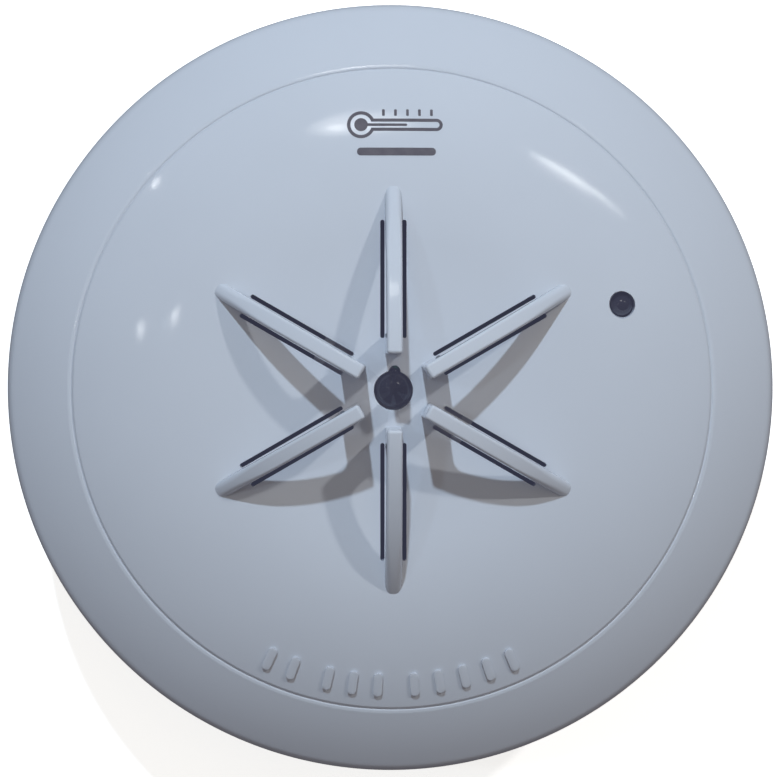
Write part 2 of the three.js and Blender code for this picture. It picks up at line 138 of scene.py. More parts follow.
def mesh_object(name, points, faces):
    mesh = bpy.data.meshes.new(name)
    mesh.from_pydata([Vector(point) * MM for point in points], [], faces)
    mesh.update()
    piece = bpy.data.objects.new(name, mesh)
    bpy.context.scene.collection.objects.link(piece)
    return piece


def moved(piece, matrix):
    piece.data.transform(matrix)
    return piece


def bake(piece):
    """Applies the piece's modifiers to its mesh."""
    bpy.context.view_layer.update()
    evaluated = piece.evaluated_get(bpy.context.evaluated_depsgraph_get())
    mesh = bpy.data.meshes.new_from_object(evaluated)
    piece.modifiers.clear()
    piece.data = mesh
    return piece


def combine(piece, operation, tools):
    """Unites, cuts or intersects the piece with each tool, and removes the tools."""
    for tool in tools:
        modifier = piece.modifiers.new("combine", "BOOLEAN")
        modifier.operation = operation
        modifier.solver = "MANIFOLD"
        modifier.object = tool
    bake(piece)
    for tool in tools:
        bpy.data.objects.remove(tool)
    return piece


def smooth(piece, degrees=35.0):
    """Smooth shading that keeps sharp edges and lets large faces stay flat."""
    piece.data.shade_smooth()
    piece.data.set_sharp_from_angle(angle=math.radians(degrees))
    modifier = piece.modifiers.new("normals", "WEIGHTED_NORMAL")
    modifier.keep_sharp = True
    return bake(piece)


def joined(name, pieces):
    """Several separate shapes as one piece."""
    mesh = bmesh.new()
    for piece in pieces:
        mesh.from_mesh(piece.data)
        bpy.data.objects.remove(piece)
    data = bpy.data.meshes.new(name)
    mesh.to_mesh(data)
    mesh.free()
    whole = bpy.data.objects.new(name, data)
    bpy.context.scene.collection.objects.link(whole)
    return smooth(whole)


def bevel(piece, width, segments=2, degrees=40.0):
    """Rounds every edge that is sharper than the angle."""
    mesh = bmesh.new()
    mesh.from_mesh(piece.data)
    limit = math.radians(degrees)
    edges = [edge for edge in mesh.edges if edge.is_manifold and edge.calc_face_angle() > limit]
    bmesh.ops.bevel(
        mesh,
        geom=edges,
        offset=width * MM,
        segments=segments,
        profile=0.5,
        affect="EDGES",
        clamp_overlap=True,
    )
    mesh.to_mesh(piece.data)
    mesh.free()
    return piece


def arc(centre, radius, start, end, steps):
    """Points along an arc, from one angle to another in radians."""
    return [
        (
            centre[0] + radius * math.cos(start + (end - start) * i / steps),
            centre[1] + radius * math.sin(start + (end - start) * i / steps),
        )
        for i in range(steps + 1)
    ]


def rounded(corners, steps=5):
    """A closed outline from (x, y) points and (x, y, radius) corners, with those corners rounded."""
    outline = []
    count = len(corners)
    for i, corner in enumerate(corners):
        point = Vector(corner[:2])
        if len(corner) < 3:
            outline.append(tuple(point))
            continue
        before = (Vector(corners[i - 1][:2]) - point).normalized()
        after = (Vector(corners[(i + 1) % count][:2]) - point).normalized()
        half = before.angle(after) / 2
        reach = corner[2] / math.tan(half)
        centre = point + (before + after).normalized() * corner[2] / math.sin(half)
        first = point + before * reach - centre
        last = point + after * reach - centre
        turn = math.atan2(first.x * last.y - first.y * last.x, first.dot(last))
        start = math.atan2(first.y, first.x)
        outline += arc(centre, corner[2], start, start + turn, steps)
    return outline


def revolve(name, outline, steps=48):
    """A solid of revolution about Z. The (radius, height) outline runs counter-clockwise."""
    points, rings = [], []
    for radius, height in outline:
        if radius < TINY:
            rings.append([len(points)])
            points.append((0, 0, height))
            continue
        rings.append(list(range(len(points), len(points) + steps)))
        angles = [2 * math.pi * i / steps for i in range(steps)]
        points += [(radius * math.cos(a), radius * math.sin(a), height) for a in angles]
    pairs = list(zip(rings, rings[1:]))
    if len(rings[0]) > 1:
        pairs.append((rings[-1], rings[0]))
    faces = []
    for lower, upper in pairs:
        for i in range(steps):
            j = (i + 1) % steps
            near = [lower[i % len(lower)], lower[j % len(lower)]]
            far = [upper[j % len(upper)], upper[i % len(upper)]]
            face = list(dict.fromkeys(near + far))
            if len(face) > 2:
                faces.append(face)
    return mesh_object(name, points, faces)


def loft(name, layers):
    """A solid through a stack of (outline, height) layers with equally many points in each."""
    count = len(layers[0][0])
    points = [(x, y, height) for outline, height in layers for x, y in outline]
    faces = [list(range(count))[::-1], list(range(len(points) - count, len(points)))]
    for start in range(0, len(points) - count, count):
        for i in range(count):
            j = (i + 1) % count
            faces.append([start + i, start + j, start + count + j, start + count + i])
    return mesh_object(name, points, faces)


def prism(name, outline, bottom, top):
    """A prism along Z whose counter-clockwise outline is a list of (x, y) points."""
    return loft(name, [(outline, bottom), (outline, top)])


def along_x(name, outline, x0, x1):
    """A prism along X whose outline is a list of (y, z) points."""
    turn = Matrix(((0, 0, 1, 0), (1, 0, 0, 0), (0, 1, 0, 0), (0, 0, 0, 1)))
    return moved(prism(name, outline, x0, x1), turn)


def rectangle(x0, x1, y0, y1, radius=0.0, steps=4):
    corners = [(x0, y0), (x1, y0), (x1, y1), (x0, y1)]
    if radius:
        corners = [(x, y, radius) for x, y in corners]
    return rounded(corners, steps)


def cylinder(name, radius, bottom, top, edge=0.0, steps=48):
    """A cylinder about Z, with rounded edges if an edge radius is given."""
    if not edge:
        return revolve(name, [(0, bottom), (radius, bottom), (radius, top), (0, top)], steps)
    corners = [(0, bottom), (radius, bottom, edge), (radius, top, edge), (0, top)]
    return revolve(name, rounded(corners, 4), steps)


def tube(name, outer, inner, bottom, top, edge=0.15, steps=48):
    corners = [(inner, bottom, edge), (outer, bottom, edge), (outer, top, edge), (inner, top, edge)]
    return revolve(name, rounded(corners, 3), steps)


def drill(bottom, top, matrix, radius=SCREW_HOLE, steps=32):
    """Cutter for a round hole along Z."""
    return moved(cylinder("drill", radius, bottom, top, 0, steps), matrix)


# ---------------------------------------------------------------- dome geometry


def dome_height(radius, depth=0.0):
    """Height of the dome, or of a surface some depth below it, at a distance from the axis."""
    if radius <= DOME_FLAT:
        return DOME_TOP - depth
    reach = DOME_ARC - depth
    return DOME_TOP - DOME_ARC + math.sqrt(reach**2 - (radius - DOME_FLAT) ** 2)


def dome_line(start, end, depth, steps):
    """Points on the dome, or some depth below it, between two distances from the axis."""
    radii = [start + (end - start) * i / steps for i in range(steps + 1)]
    return [(radius, dome_height(radius, depth)) for radius in radii]


def dome_shell(inner, outer, depth, lift):
    """A ring-shaped shell between a depth below the dome and a lift above it."""
    lower = dome_line(inner, outer, depth, 16)
    upper = dome_line(inner, outer, -lift, 16)
    return revolve("shell", lower + upper[::-1], ROUND)


def rim_outline():
    """The rim's arc, from the upright side to where it meets the dome's arc."""
    centre_radius = RIM_RADIUS - RIM_ARC
    tangent = math.acos((centre_radius - DOME_FLAT) / (DOME_ARC - RIM_ARC))
    centre = (centre_radius, DOME_TOP - DOME_ARC + (DOME_ARC - RIM_ARC) * math.sin(tangent))
    return arc(centre, RIM_ARC, 0, tangent, 12)


# ---------------------------------------------------------------- front cover


def fin_profile():
    """Side view of an arch fin: (x, z, edge rounding) points, clockwise."""
    tip = Vector((FIN_INNER, FIN_TIP))
    end = Vector((FIN_OUTER, dome_height(FIN_OUTER)))
    chord = end - tip
    back = math.sqrt(FIN_ARC**2 - (chord.length / 2) ** 2) / chord.length
    centre = (tip + end) / 2 + Vector((chord.y, -chord.x)) * back
    start = math.atan2(tip.y - centre.y, tip.x - centre.x)
    top = arc(centre, FIN_ARC, start, math.asin((FIN_FOOT - centre.y) / FIN_ARC), 40)
    under = FIN_ARC - FIN_DEPTH
    under_start = math.asin((FIN_FOOT - centre.y) / under)
    under_end = math.acos((POST_OUTER - centre.x) / under)
    below = arc(centre, under, under_start, under_end, 30)
    tip_round, window_round, corner_steps = 0.4, 0.8, 6
    post_back = POST_OUTER + 0.12
    profile = rounded(
        [(FIN_INNER, POST_FOOT), (*top[0], tip_round), *top[2:]]
        + [*below[:-3], (*below[-1], window_round), (post_back, POST_FOOT)],
        corner_steps,
    )
    top_edge, edge_growth, grows_from, grows_over = 0.38, 0.42, 17.0, 7.0
    under_edge, post_front_edge, post_back_edge = 0.15, 0.25, 0.12
    crown = len(profile) - len(below[:-3]) - corner_steps - 2
    loop = []
    for i, (x, z) in enumerate(profile):
        share = min(max((x - grows_from) / grows_over, 0.0), 1.0)
        edge = top_edge + edge_growth * share * share * (3 - 2 * share)
        if i >= crown:
            edge = under_edge
        if i == 0:
            edge = post_front_edge
        if i == len(profile) - 1:
            edge = post_back_edge
        loop.append((x, z, edge))
    return loop


def make_fin(angle):
    """One arch fin: the side view's outline swept with rounded edges, and a slight draft to its sides."""
    loop = fin_profile()
    count = len(loop)
    edge_steps = 4
    points = []
    for i, (x, z, edge) in enumerate(loop):
        here = Vector((x, z))
        before = Vector(loop[i - 1][:2])
        after = Vector(loop[(i + 1) % count][:2])
        tangent = ((here - before).normalized() + (after - here).normalized()).normalized()
        inward = Vector((tangent.y, -tangent.x))
        share = min(max((z - DOME_TOP) / (FIN_TIP - DOME_TOP), 0.0), 1.0)
        half = FIN_ROOT_HALF + (FIN_TOP_HALF - FIN_ROOT_HALF) * share
        section = []
        for k in range(edge_steps + 1):
            phi = math.pi / 2 * k / edge_steps
            section.append((half - edge + edge * math.cos(phi), edge * (1 - math.sin(phi))))
        section += [(-y, depth) for y, depth in reversed(section)]
        points += [(x + inward.x * depth, y, z + inward.y * depth) for y, depth in section]
    wide = 2 * (edge_steps + 1)
    faces = [[i * wide for i in range(count)], [i * wide + wide - 1 for i in range(count)][::-1]]
    for i in range(count):
        a, b = i * wide, (i + 1) % count * wide
        faces += [[a + j, a + j + 1, b + j + 1, b + j] for j in range(wide - 1)]
    return moved(mesh_object("fin", points, faces), place(angle))


def make_slot(angle, side):
    """Cutter for one air slot beside a fin, with nearly round ends."""
    half = (SLOT_FAR - SLOT_NEAR) / 2
    middle = side * (SLOT_NEAR + SLOT_FAR) / 2
    end_round = half * 0.98
    outline = rectangle(SLOT_INNER, SLOT_OUTER, middle - half, middle + half, end_round, 6)
    return moved(prism("slot", outline, *CUT), place(angle))


def make_bar(angle):
    """One blank raised bar near the cover's edge, standing on the dome."""
    outline = rectangle(BAR_INNER, BAR_OUTER, -BAR_HALF, BAR_HALF, 0.5, 5)
    bar = moved(prism("bar", outline, *TALL), place(angle))
    shell_inner, shell_outer, sunk = 34.0, 40.2, 0.5
    shell = dome_shell(shell_inner, shell_outer, sunk, BAR_LIFT)
    return bevel(combine(bar, "INTERSECT", [shell]), 0.13, 2, 60)


def bar_angles():
    """Angles of the raised bars: ten of them in three groups."""
    angle, pitch, gap = 245.3, 4.9, 2.2
    angles = []
    for group in (2, 3, 5):
        for _ in range(group):
            angles.append(angle)
            angle += pitch
        angle += gap
    return angles


def larger_of(first, second, blend):
    """The larger of two distances, with a soft change from one to the other."""
    return (first + second + math.sqrt((first - second) ** 2 + blend**2)) / 2


def bump_reach(cosine, distance, radius):
    """How far a ball, centred at a distance, reaches along a ray at an angle to its centre's direction."""
    sine = math.sqrt(max(1 - cosine**2, 0.0))
    if cosine <= 0:
        return 0.0
    inside = radius**2 - (distance * sine) ** 2
    return min(distance * cosine + math.sqrt(max(inside, 0.0)), radius / max(sine, TINY))


def hub_outline(wider):
    """Outline of the hub hole, with its notch at 12 o'clock, made wider all round."""
    steps, notch_angle, blend = 144, math.radians(86), 0.22
    points = []
    for i in range(steps):
        angle = 2 * math.pi * i / steps
        notch = bump_reach(math.cos(angle - notch_angle), HUB_HOLE, HUB_NOTCH)
        reach = larger_of(HUB_HOLE - 0.02, notch, blend) + wider
        points.append((reach * math.cos(angle), reach * math.sin(angle)))
    return points


def make_hub_cutter():
    """Cutter for the hub hole, with softened edges that end just above the cover."""
    edge, clear = 0.12, 0.001
    part = 0.3 * edge
    layers = [(0, CUT[0]), (0, DOME_TOP - edge), (part, DOME_TOP - part)]
    layers += [(edge, DOME_TOP + clear), (edge, CUT[1])]
    return loft("hub_hole", [(hub_outline(wider), height) for wider, height in layers])


def make_lamp_cutter():
    """Cutter for the lamp's hole, whose mouth is slightly flared."""
    radius, mouth_radius = 1.6, 1.78
    mouth = dome_height(LAMP_RADIUS)
    outline = [(0, CUT[0]), (radius, CUT[0]), (radius, mouth - 0.3), (mouth_radius, mouth + 0.1)]
    outline += [(mouth_radius, CUT[1]), (0, CUT[1])]
    return moved(revolve("lamp_hole", outline, 64), place(LAMP_ANGLE, LAMP_RADIUS))


def make_front_cover():
    foot = LEDGE_TOP + 0.3
    foot_round, edge_fall, edge_round = 0.2, 0.24, 0.5
    underside = dome_line(DOME_FLAT, FOOT_INNER, COVER_WALL, 14)
    face = dome_line(COVER_RADIUS - 0.9, DOME_FLAT, 0, 44)
    edge = COVER_RADIUS - edge_fall
    outline = rounded(
        [(1.0, DOME_TOP - COVER_WALL), *underside, (FOOT_INNER, foot, foot_round)]
        + [(COVER_RADIUS, foot, foot_round), (COVER_RADIUS, dome_height(COVER_RADIUS) - SEAM_DEPTH)]
        + [(edge, dome_height(edge), edge_round), *face, (1.0, DOME_TOP)]
    )
    cover = revolve("front_cover_moulding", outline, ROUND)
    combine(cover, "UNION", [make_fin(angle) for angle in FIN_ANGLES])
    combine(cover, "UNION", [make_bar(angle) for angle in bar_angles()])
    cutters = [make_slot(angle, side) for angle in FIN_ANGLES for side in (1, -1)]
    combine(cover, "DIFFERENCE", cutters + [make_hub_cutter(), make_lamp_cutter()])
    boss_radius, boss_foot, bore_end, boss_top = 3.0, 17.8, 25.0, 31.0
    bosses, caps = [], []
    for number in (1, 2, 3):
        spot = over(centre_of(f"case_screw_{number}"))
        bosses.append(moved(tube("boss", boss_radius, 1.5, boss_foot, boss_top), spot))
        caps.append(moved(cylinder("cap", boss_radius, bore_end, boss_top), spot))
    combine(cover, "UNION", bosses)
    combine(cover, "UNION", caps)
    return smooth(cover)


def thermometer(bulb_radius, opening, stem_end, stem_half, bulb_steps, stem_steps):
    """Outline of a bulb whose opening, in degrees, leads into a stem with a round end."""
    bulb_x = -4.4
    bulb = arc((bulb_x, 0), bulb_radius, math.radians(opening), math.radians(360 - opening), bulb_steps)
    return bulb + arc((stem_end, 0), stem_half, -math.pi / 2, math.pi / 2, stem_steps)


def make_mark():
    """Generic printed mark: a lying thermometer over a plain bar, as a film of ink on the dome."""
    glass = prism("glass", thermometer(1.75, 27, 5.0, 0.8, 40, 16), *TALL)
    window = prism("window", thermometer(1.33, 17, 5.0, 0.39, 36, 12), TALL[0] - 1, TALL[1] + 1)
    combine(glass, "DIFFERENCE", [window])
    shapes = [glass, prism("filling", thermometer(0.85, 12, 1.2, 0.16, 32, 8), *TALL)]
    tick_half, tick_foot, tick_top, tick_pitch, first_tick = 0.17, 1.15, 2.0, 1.5, -1.6
    for i in range(5):
        x = first_tick + tick_pitch * i
        tick = rectangle(x - tick_half, x + tick_half, tick_foot, tick_top, 0.1)
        shapes.append(prism("tick", tick, *TALL))
    shapes.append(prism("bar", rectangle(-4.9, 4.9, -3.95, -2.95, 0.45), *TALL))
    film_depth, film_lift = 0.02, 0.02
    films = []
    for shape in shapes:
        moved(shape, place(0, *MARK_CENTRE))
        films.append(combine(shape, "INTERSECT", [dome_shell(26, 38, film_depth, film_lift)]))
    mark = films[0]
    combine(mark, "UNION", films[1:])
    mark.name = "printed_mark"
    return smooth(mark)


# ---------------------------------------------------------------- outer ring


def make_outer_ring():
    """Rim and skirt of the head, with a soft lip at the seam, a ledge for the cover and a lug inside."""
    skirt_foot, skirt_outer, skirt_inner = 9.9, 49.4, 47.5
    lug_inner, lug_bottom, lug_top = 45.6, 12.3, 13.8
    rim = rim_outline()
    face = dome_line(rim[-1][0] - 0.3, RING_MOUTH + 1.6, 0, 8)
    under = dome_line(42.7, 47.0, RING_WALL, 6)
    mouth = dome_height(RING_MOUTH)
    lip = [(RING_MOUTH + 0.6, dome_height(RING_MOUTH + 0.6), 0.9), (RING_MOUTH + 0.2, mouth - 0.18, 0.2)]
    lip += [(RING_MOUTH + 0.05, mouth - 0.26), (RING_MOUTH, mouth - 0.27)]
    ledge = [(RING_MOUTH, LEDGE_TOP, 0.2), (FOOT_INNER, LEDGE_TOP, 0.3), (FOOT_INNER, LEDGE_TOP - 1.5, 0.3)]
    outline = rounded(
        [(skirt_inner, skirt_foot, 0.3), (skirt_outer, skirt_foot, 0.5), *rim, *face, *lip, *ledge]
        + [*under, (47.9, lug_top, 0.3), (lug_inner, lug_top, 0.3)]
        + [(lug_inner, lug_bottom, 0.3), (skirt_inner, lug_bottom, 0.3)]
    )
    return smooth(revolve("outer_ring_moulding", outline, ROUND))


# ---------------------------------------------------------------- sensor and lamp


def make_bead():
    """Flattened epoxy drop with its tail in the hub hole's notch."""
    tail_radius, tail_reach, blend = 0.42, 2.25, 0.2
    axis = Vector((0.07, 0.99, 0.07)).normalized()
    side = axis.orthogonal().normalized()
    across = axis.cross(side)
    rows, columns = 72, 96
    crowding = 1.35  # more rows near the tail
    unevenness = 0.012
    points, faces = [], []
    for i in range(rows + 1):
        theta = math.pi * (i / rows) ** crowding
        spike = bump_reach(math.cos(theta), tail_reach, tail_radius)
        for j in range(columns if 0 < i < rows else 1):
            phi = 2 * math.pi * j / columns
            out = side * math.cos(phi) + across * math.sin(phi)
            way = axis * math.cos(theta) + out * math.sin(theta)
            drop = 1 / math.sqrt(sum((w / half) ** 2 for w, half in zip(way, BEAD_HALF)))
            lump = 1 + unevenness * math.sin(3 * way.x + 2 * way.z)
            points.append(BEAD_CENTRE + way * larger_of(drop * lump, spike, blend))
    last = len(points) - 1
    for j in range(columns):
        k = (j + 1) % columns
        faces.append([0, 1 + j, 1 + k])
        faces.append([last, last - columns + k, last - columns + j])
        for i in range(rows - 2):
            a, b = 1 + i * columns, 1 + (i + 1) * columns
            faces.append([a + j, b + j, b + k, a + k])
    bead = mesh_object("thermistor_bead_epoxy", points, faces)
    bead.data.shade_smooth()
    return bead


def make_lens():
    """Lamp body: a flange at its foot and a round nose."""
    low, high, _ = box_mm("indicator_lens")
    foot, top = low.z, high.z
    flange, nose = 1.9, 1.4
    outline = [(0, foot), (flange - 0.02, foot), (flange, foot + 0.1), (flange, foot + 0.9)]
    outline += [(flange - 0.1, foot + 1.0), (nose + 0.05, foot + 1.0), (nose, foot + 1.08)]
    outline += arc((0, top - nose), nose, 0, math.pi / 2, 14)[:-1] + [(0, top)]
    lens = revolve("indicator_lens_body", outline, 64)
    return smooth(moved(lens, place(LAMP_ANGLE, LAMP_RADIUS)))


def make_wire(node, name):
    """A round lead where the CAD has one."""
    radius, edge = 0.25, 0.06
    low, high, centre = box_mm(node)
    return smooth(moved(cylinder(name, radius, low.z, high.z, edge, 24), over(centre)))


def make_holder():
    """Bridge under the hub that carries the bead: a bar, two end pads and a low seat."""
    half_length, half_width, bottom, top = 10.6, 2.5, 28.4, 29.9
    pad_inner, pad_bottom, pad_top = 9.1, 29.0, 31.3
    seat_radius, seat_bottom, seat_top, bore = 2.0, 28.8, 30.4, 1.2
    outline = rectangle(-half_length, half_length, -half_width, half_width, 0.6)
    bar = bevel(prism("thermistor_holder_bridge", outline, bottom, top), 0.2)
    tools = []
    for side in (-1, 1):
        x0, x1 = sorted((side * pad_inner, side * half_length))
        pad = prism("pad", rectangle(x0, x1, -half_width, half_width, 0.4), pad_bottom, pad_top)
        tools.append(bevel(pad, 0.15))
    tools.append(cylinder("seat", seat_radius, seat_bottom, seat_top, 0.15))
    combine(bar, "UNION", tools)
    combine(bar, "DIFFERENCE", [drill(bottom - 1, pad_top + 1, place(0), bore, 36)])
    return smooth(moved(bar, place(HOLDER_ANGLE)))


def make_spacer():
    low, high, _ = box_mm("indicator_spacer")
    spacer = tube("indicator_spacer_tube", 2.1, 1.2, low.z, high.z)
    return smooth(moved(spacer, place(LAMP_ANGLE, LAMP_RADIUS)))


# ---------------------------------------------------------------- base and rear housing


def round_ended(x0, x1, half):
    """Outline of a slot along X with round ends."""
    return rectangle(x0, x1, -half, half, half - 0.01, 10)


def make_base_plate():
    """Shallow moulded tray: cable hole and collar, four fixing slots and four terminal pads."""
    cable_hole, floor_top, wall_top, wall_inner = 11.0, 2.2, 9.3, 46.4
    collar_outer, collar_top = 12.8, 4.5
    pad_bottom, pad_top, pad_half = 1.1, 4.2, 6.5
    pin_radius, pin_depth = 1.3, 0.12  # marks that the mould's ejector pins leave
    slot_inner, slot_outer, slot_half = 22.5, 37.5, 2.5
    seat_wider, seat_floor, above = 1.2, 1.75, 5.0
    groove_inner, groove_outer, groove_depth = 41.0, 42.2, 0.35
    tray = rounded(
        [(cable_hole, 0, 0.3), (48.8, 0, 0.5), (48.4, wall_top, 0.4), (wall_inner, wall_top, 0.3)]
        + [(wall_inner, floor_top, 0.6), (collar_outer + 0.2, floor_top, 0.5)]
        + [(collar_outer, collar_top, 0.3), (cable_hole, collar_top, 0.3)]
    )
    base = revolve("base_plate_moulding", tray, 192)
    additions, cutters = [], []
    for angle in CONTACT_ANGLES:
        outline = rectangle(22, 43, -pad_half, pad_half, 1.2)
        pad = bevel(prism("pad", outline, pad_bottom, pad_top), 0.25)
        additions.append(moved(pad, place(angle)))
        cutters.append(drill(pad_bottom, above, place(angle, TERMINAL_X)))
        for side in (-5.2, 5.2):
            cutters.append(drill(-pin_depth, pin_depth, place(angle, 31, side), pin_radius))
        rib = bevel(prism("rib", rectangle(43.2, 46.8, -0.6, 0.6), 1.5, 8.2), 0.15)
        additions.append(moved(rib, place(angle, 0, 9.5)))
    combine(base, "UNION", additions)
    for angle in (0, 90, 180, 270):
        slot = round_ended(slot_inner, slot_outer, slot_half)
        cutters.append(moved(prism("slot", slot, -1, above), place(angle)))
        seat = round_ended(slot_inner - seat_wider, slot_outer + seat_wider, slot_half + seat_wider)
        cutters.append(moved(prism("slot_seat", seat, seat_floor, above), place(angle)))
    groove = rectangle(groove_inner, groove_outer, -1, groove_depth)
    cutters.append(revolve("back_groove", groove, 192))
    combine(base, "DIFFERENCE", cutters)
    return smooth(base)


def make_rear_housing():
    """Back of the head: a plate with a wall inside the ring, standoffs for the screws, and ribs."""
    bottom, top, wall_outer, wall_inner, wall_top = 10.2, 12.0, 45.2, 43.6, 16.5
    standoff_bottom, standoff_top = 11.0, BOARD_BOTTOM - 0.3
    recess_radius, recess_top = 3.2, 12.8
    rib_bottom, rib_top, rib_inner, rib_half, rib_count = 11.5, 13.4, 14.0, 0.5, 12
    outline = rounded(
        [(0, bottom), (47.2, bottom, 0.4), (47.2, top, 0.3), (wall_outer, top, 0.3)]
        + [(wall_outer, wall_top, 0.3), (wall_inner, wall_top, 0.3), (wall_inner, top, 0.5), (0, top)]
    )
    housing = revolve("rear_housing_moulding", outline, 192)
    additions, cutters = [], []
    for node, radius in BOARD_SCREWS:
        spot = over(centre_of(node))
        additions.append(moved(cylinder("standoff", radius, standoff_bottom, standoff_top, 0.25), spot))
        cutters.append(drill(bottom - 1, standoff_top + 1, spot))
        if node.startswith("case"):
            cutters.append(drill(bottom - 1, recess_top, spot, recess_radius, 40))
    for i in range(rib_count):
        rib = prism("rib", rectangle(rib_inner, wall_inner + 0.3, -rib_half, rib_half), rib_bottom, rib_top)
        additions.append(moved(bevel(rib, 0.12), place(15 + 360 / rib_count * i)))
    additions.append(tube("ring_rib", rib_inner + 0.6, rib_inner - 0.6, rib_bottom, rib_top, 0.12, 96))
    for addition in additions:
        combine(housing, "UNION", [addition])
    combine(housing, "DIFFERENCE", cutters)
    return smooth(housing)


# ---------------------------------------------------------------- contacts and screws


def ribbon(path, thickness, bend):
    """Outline of a bent strip along a path of points, with rounded bends."""
    sides = {1: [], -1: []}
    for i, point in enumerate(path):
        here = Vector(point)
        before = (here - Vector(path[i - 1])).normalized() if i else None
        after = (Vector(path[i + 1]) - here).normalized() if i < len(path) - 1 else None
        first, last = before or after, after or before
        normal = Vector((-first.y - last.y, first.x + last.x)).normalized()
        reach = thickness / 2 / max(normal.dot(Vector((-first.y, first.x))), 0.2)
        turn = first.x * last.y - first.y * last.x
        for side in (1, -1):
            spot = here + normal * reach * side
            if abs(turn) < TINY:
                sides[side].append((*spot, 0.12))
            else:
                sides[side].append((*spot, bend if turn * side > 0 else bend + thickness))
    return rounded(sides[-1] + sides[1][::-1], 5)


def make_clip(number):
    """Spring clip of the base: a flat tail under the terminal screw and a jaw that takes the blade."""
    sheet, bottom, jaw_height = 0.6, 4.5, 7.1
    low = bottom + sheet / 2
    path = [(4.0, low), (-5.3, low), (-5.3, jaw_height), (2.4, jaw_height), (3.4, jaw_height + 0.5)]
    clip = along_x(f"contact_clip_{number}_sheet", ribbon(path, sheet, 0.35), 34.5, 42.0)
    bevel(clip, 0.08, 2, 60)
    tail = bevel(prism("tail", rectangle(23.0, 35.2, -4.0, 4.0, 0.8), bottom, bottom + sheet), 0.08)
    combine(clip, "UNION", [tail])
    combine(clip, "DIFFERENCE", [drill(bottom - 1, bottom + sheet + 1, place(0, TERMINAL_X))])
    return smooth(moved(clip, place(CONTACT_ANGLES[number - 1])))


def make_washer(number):
    """Square clamp washer with rounded corners and a hole."""
    half, bottom, top, hole = 3.4, 5.4, 6.2, 1.75
    outline = rectangle(-half, half, -half, half, 0.6)
    washer = bevel(prism(f"clamp_washer_{number}_plate", outline, bottom, top), 0.12)
    combine(washer, "DIFFERENCE", [drill(bottom - 1, top + 1, place(0), hole)])
    return smooth(moved(washer, place(CONTACT_ANGLES[number - 1], TERMINAL_X)))


def make_blade(number):
    """Plug-in blade of the head: a Z of thick sheet, fixed by its tab."""
    sheet, blade_height, tab_height = 1.0, 5.95, 9.4
    path = [(-4.4, blade_height), (4.4, blade_height), (4.4, tab_height), (13.0, tab_height)]
    blade = along_x(f"contact_blade_{number}_sheet", ribbon(path, sheet, 0.3), 36.0, 41.0)
    bevel(blade, 0.1, 2, 60)
    hole = drill(tab_height - 1, tab_height + 1, place(0, *BLADE_SCREW))
    combine(blade, "DIFFERENCE", [hole])
    return smooth(moved(blade, place(CONTACT_ANGLES[number - 1])))


def screw_outline(length, head, shank, height):
    """Half section of a screw that hangs from its head's top: a threaded shank and a domed head."""
    pitch, thread_depth, crest, flank = 0.5, 0.2, 0.08, 0.25
    root = shank - thread_depth
    outline = [(0, -length), (shank - 0.45, -length), (root, -length + 0.35)]
    level = -length + 0.6
    while level < -height - pitch:
        outline += [(shank, level), (shank, level + crest), (root, level + crest + flank)]
        level += pitch
    outline += [(shank, -height - 0.15), (shank, -height), (head - 0.12, -height)]
    outline += [(head, -height + 0.12), (head, -0.45), (head * 0.93, -0.16), (head * 0.78, -0.03)]
    return outline + [(0, 0)]


def make_screw(node, head, shank, height, drive, head_up=False):
    """A machine screw where the CAD has one, with a slotted or crossed head."""
    low, high, centre = box_mm(node)
    screw = revolve(f"{node}_thread", screw_outline(high.z - low.z, head, shank, height), 40)
    depth = min(height * 0.55, 0.9)
    if drive == "slot":
        cutters = [prism("slot", rectangle(-head - 1, head + 1, -0.4, 0.4), -depth, 1)]
    else:
        arm, half = head * 0.6, 0.35
        cutters = [
            prism("arm", rectangle(-arm, arm, -half, half, 0.1), -depth, 1),
            prism("arm", rectangle(-half, half, -arm, arm, 0.1), -depth - 0.001, 1),
        ]
    combine(screw, "DIFFERENCE", cutters)
    turn = Matrix.Rotation(math.atan2(centre.y, centre.x), 4, "Z")
    spot = over(centre, high.z if head_up else low.z) @ turn
    if not head_up:
        spot = spot @ Matrix.Rotation(math.pi, 4, "X")
    return smooth(moved(screw, spot))


def make_nut(number):
    """Brass hexagon nut with chamfered corners."""
    low, high, centre = box_mm(f"contact_nut_{number}")
    bottom, top = low.z, high.z
    corners = [math.radians(60 * i) for i in range(6)]
    hexagon = [(3.0 * math.cos(corner), 3.0 * math.sin(corner)) for corner in corners]
    nut = prism(f"contact_nut_{number}_hexagon", hexagon, bottom, top)
    outer, face, fall = 3.05, 2.62, 0.28
    chamfer = [(0, bottom), (face, bottom), (outer, bottom + fall)]
    chamfer += [(outer, top - fall), (face, top), (0, top)]
    combine(nut, "INTERSECT", [revolve("chamfer", chamfer, 64)])
    combine(nut, "DIFFERENCE", [drill(bottom - 1, top + 1, place(0), 1.62, 40)])
    return smooth(moved(nut, over(centre)))


# ---------------------------------------------------------------- circuit board


def at_node(piece, node):
    """Moves a piece laid out round the Z axis to stand on a CAD node's foot."""
    low, _, centre = box_mm(node)
    return moved(piece, over(centre, low.z))


def make_board():
    board = cylinder("circuit_board_laminate", BOARD_RADIUS, BOARD_BOTTOM, BOARD_TOP, 0.12, 144)
    spots = [over(centre_of(node)) for node, _ in BOARD_SCREWS]
    cutters = [drill(BOARD_BOTTOM - 1, BOARD_TOP + 1, spot) for spot in spots]
    combine(board, "DIFFERENCE", cutters)
    return smooth(board)


